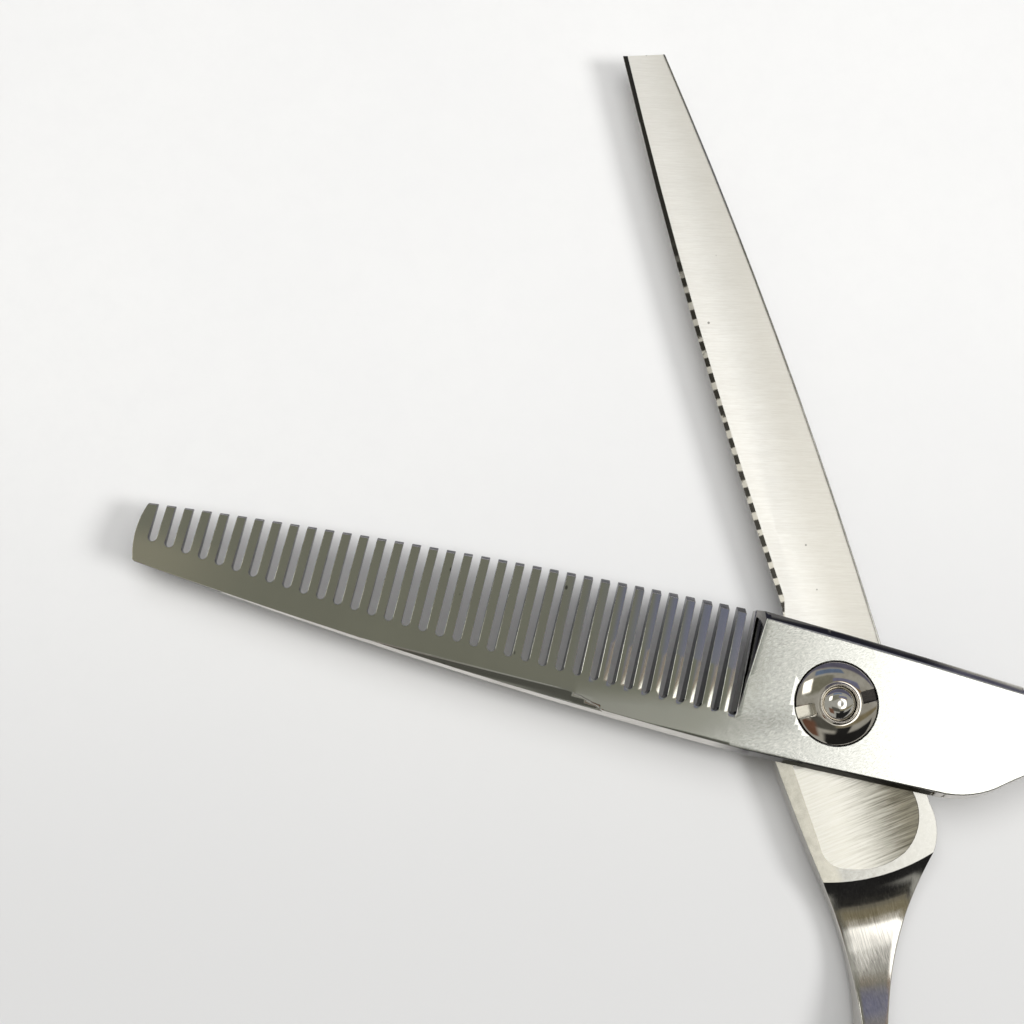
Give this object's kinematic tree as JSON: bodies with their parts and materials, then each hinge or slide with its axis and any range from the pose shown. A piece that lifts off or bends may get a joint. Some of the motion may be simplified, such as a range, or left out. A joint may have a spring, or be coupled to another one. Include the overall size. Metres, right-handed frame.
{
  "type": "thinning shears",
  "caption": "Hairdresser's thinning shears lying open: a toothed comb blade over a straight blade, domed tension nut, finger rings and a finger rest.",
  "frame": {"origin": "on the pivot axis, at the underside of the pivot bolt's head, in the plane that the shears lie on", "axes": "+Z along the pivot axis, from the bolt's head to the tension nut; +Y from the pivot to the straight blade's tip"},
  "size_m": [0.1618, 0.1478, 0.0079],
  "materials": {
    "blade_steel": "satin ground and polished",
    "handle_steel": "mirror polished",
    "fastener_steel": "mirror polished",
    "spring_steel": "satin",
    "bearing_plastic": "matte",
    "soft_rubber": "matte"
  },
  "bodies": {
    "straight_arm": {"straight_blade": "blade_steel", "straight_handle": "handle_steel", "pivot_bolt": "fastener_steel", "blade_washer": "bearing_plastic", "bumper": "soft_rubber", "thumb_ring_insert": "soft_rubber"},
    "comb_arm": {"comb_blade": "blade_steel", "comb_handle": "handle_steel", "pivot_bushing": "bearing_plastic", "wave_spring": "spring_steel", "thrust_washer": "spring_steel", "finger_rest": "handle_steel", "finger_ring_insert": "soft_rubber"},
    "nut": {"tension_nut": "fastener_steel"}
  },
  "joints": [
    {"name": "pivot", "type": "hinge", "parent": "straight_arm", "child": "comb_arm", "pos_m": [0, 0, 0.0033], "axis": [0, 0, 1], "range_deg": [-60, 60]},
    {"name": "nut_turn", "type": "hinge", "parent": "straight_arm", "child": "nut", "pos_m": [0, 0, 0.0062], "axis": [0, 0, 1], "range_deg": [-90, 90]}
  ]
}
